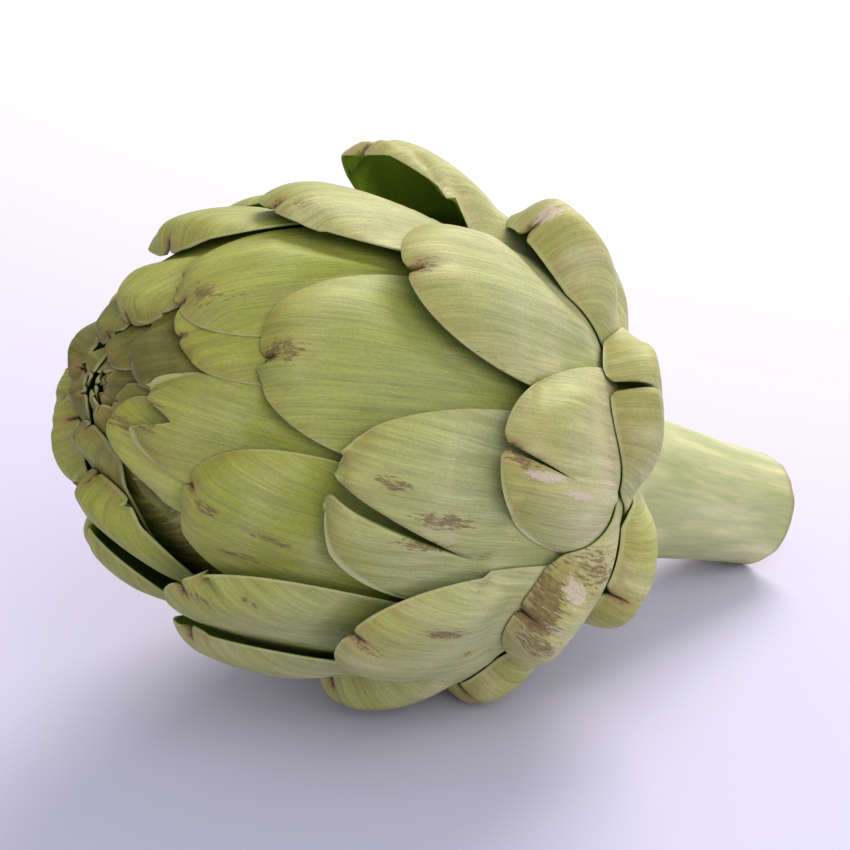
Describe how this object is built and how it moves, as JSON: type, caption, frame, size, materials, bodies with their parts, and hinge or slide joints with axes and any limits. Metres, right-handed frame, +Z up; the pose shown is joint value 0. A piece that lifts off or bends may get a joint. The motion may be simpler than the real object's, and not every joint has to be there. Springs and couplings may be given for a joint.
{
  "type": "globe artichoke",
  "caption": "Whole globe artichoke lying on its side: a round head of overlapping notched bracts on a cut stem.",
  "frame": {"origin": "centre of the flat spot under the head, where it rests on the surface", "axes": "+Z up, +X along the surface from the crown towards the cut end of the stem, +Y to the far side of the head"},
  "size_m": [0.1583, 0.0951, 0.1028],
  "materials": {
    "bract": "pale sage-green waxy leaf with fine lengthwise lines, olive tips and brown specks",
    "crown": "olive-green waxy leaf with brown-purple notches",
    "stem": "pale yellow-green ridged stem with a brownish cut rim"
  },
  "bodies": {
    "root": {"stem": "stem", "bract_01": "bract", "bract_02": "bract", "bract_03": "bract", "bract_04": "bract", "bract_05": "bract", "bract_06": "bract", "bract_07": "bract", "bract_08": "bract", "bract_09": "bract", "bract_10": "bract", "bract_11": "bract", "bract_12": "bract", "bract_13": "bract", "bract_14": "bract", "bract_15": "bract", "bract_16": "bract", "bract_17": "bract", "bract_18": "bract", "bract_19": "bract", "bract_20": "bract", "bract_21": "bract", "bract_22": "bract", "bract_23": "bract", "bract_24": "bract", "bract_25": "bract", "bract_26": "bract", "bract_27": "bract", "bract_28": "bract", "bract_29": "bract", "bract_30": "bract", "bract_31": "bract", "bract_32": "bract", "bract_33": "bract", "bract_34": "bract", "bract_35": "bract", "bract_36": "bract", "bract_37": "bract", "bract_38": "bract", "inner_bud": "crown"}
  },
  "joints": []
}
